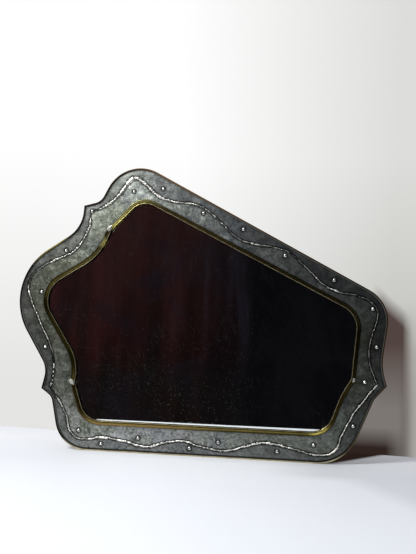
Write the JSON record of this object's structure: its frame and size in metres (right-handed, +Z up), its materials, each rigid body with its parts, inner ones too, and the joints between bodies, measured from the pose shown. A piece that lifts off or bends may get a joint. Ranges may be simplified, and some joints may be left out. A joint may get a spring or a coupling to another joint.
{
  "type": "wall mirror",
  "caption": "Asymmetric wall mirror in a patinated sheet-metal frame with brass edging, a wavy soldered seam, domed nails and swinging ring hangers on the back.",
  "frame": {"origin": "middle of the flat bottom edge, half way through its depth", "axes": "+X to the right as seen from the front, +Y towards the wall behind, +Z up; the glass faces -Y"},
  "size_m": [0.6116, 0.0186, 0.472],
  "materials": {
    "core_wood": "raw plywood",
    "outer_patina": "dark patina",
    "inner_patina": "mottled patina",
    "mirror": "silvered glass",
    "hardboard": "smooth hardboard",
    "steel": "zinc plated",
    "bright_metal": "polished",
    "solder": "satin solder",
    "brass": "aged satin"
  },
  "bodies": {
    "mirror": {"core_ring": "core_wood", "outer_face_plate": "outer_patina", "inner_face_plate": "inner_patina", "mirror_glass": "mirror", "back_panel": "hardboard", "back_panel_screws": "steel", "hanger_screws": "steel", "outer_plate_studs": "bright_metal", "inner_plate_studs": "bright_metal", "rim_solder_joints": "solder", "hanger_strap_left": "steel", "hanger_strap_right": "steel", "edge_strip_upper": "brass", "sight_rim_upper": "brass", "seam_bead_upper": "solder", "edge_strip_lower": "brass", "sight_rim_lower": "brass", "seam_bead_lower": "solder", "edge_strip_left": "brass", "sight_rim_left": "brass", "seam_bead_left": "solder"},
    "left_ring": {"hanger_ring_left": "steel"},
    "right_ring": {"hanger_ring_right": "steel"}
  },
  "joints": [
    {"name": "left_ring_swing", "type": "hinge", "parent": "mirror", "child": "left_ring", "pos_m": [-0.29102, 0.008, 0.244], "axis": [-1, 0, 0], "range_deg": [0, 175]},
    {"name": "right_ring_swing", "type": "hinge", "parent": "mirror", "child": "right_ring", "pos_m": [0.28725, 0.008, 0.244], "axis": [-1, 0, 0], "range_deg": [0, 175]}
  ]
}
